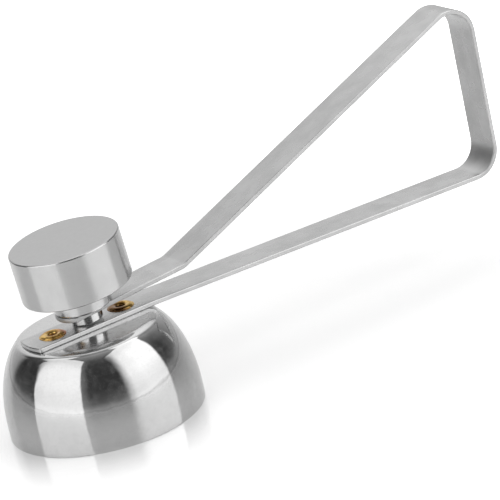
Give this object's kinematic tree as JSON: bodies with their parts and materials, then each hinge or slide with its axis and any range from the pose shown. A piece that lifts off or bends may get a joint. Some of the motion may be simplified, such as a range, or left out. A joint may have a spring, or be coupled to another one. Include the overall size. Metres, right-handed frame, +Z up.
{
  "type": "egg topper",
  "caption": "Steel egg topper: a sharp-rimmed cup with a weighted knob above it on a sprung triangular strip handle; the knob is lifted and let go to crack the shell.",
  "frame": {"origin": "centre of the cup's round rim, in the rim's plane", "axes": "+Z up the cup's axis, out through its flat top; +X along the handle, away from the cup; +Y across the strip"},
  "size_m": [0.1205, 0.04, 0.0542],
  "materials": {
    "polished_steel": "polished",
    "strip_steel": "satin",
    "turned_steel": "turned satin",
    "brass": "polished"
  },
  "bodies": {
    "cup_and_lower_arm": {"cup": "polished_steel", "lower_arm": "strip_steel", "outer_rivet": "brass", "inner_rivet": "brass"},
    "hammer": {"upper_arm": "strip_steel", "knob": "turned_steel", "striker": "polished_steel"}
  },
  "joints": [
    {"name": "strip_flex", "type": "hinge", "parent": "cup_and_lower_arm", "child": "hammer", "pos_m": [0.09987, 0, 0.03685], "axis": [0, 1, 0], "range_deg": [0, 9], "stiffness_Nm_per_rad": 1.2, "springref_deg": -2.86}
  ]
}
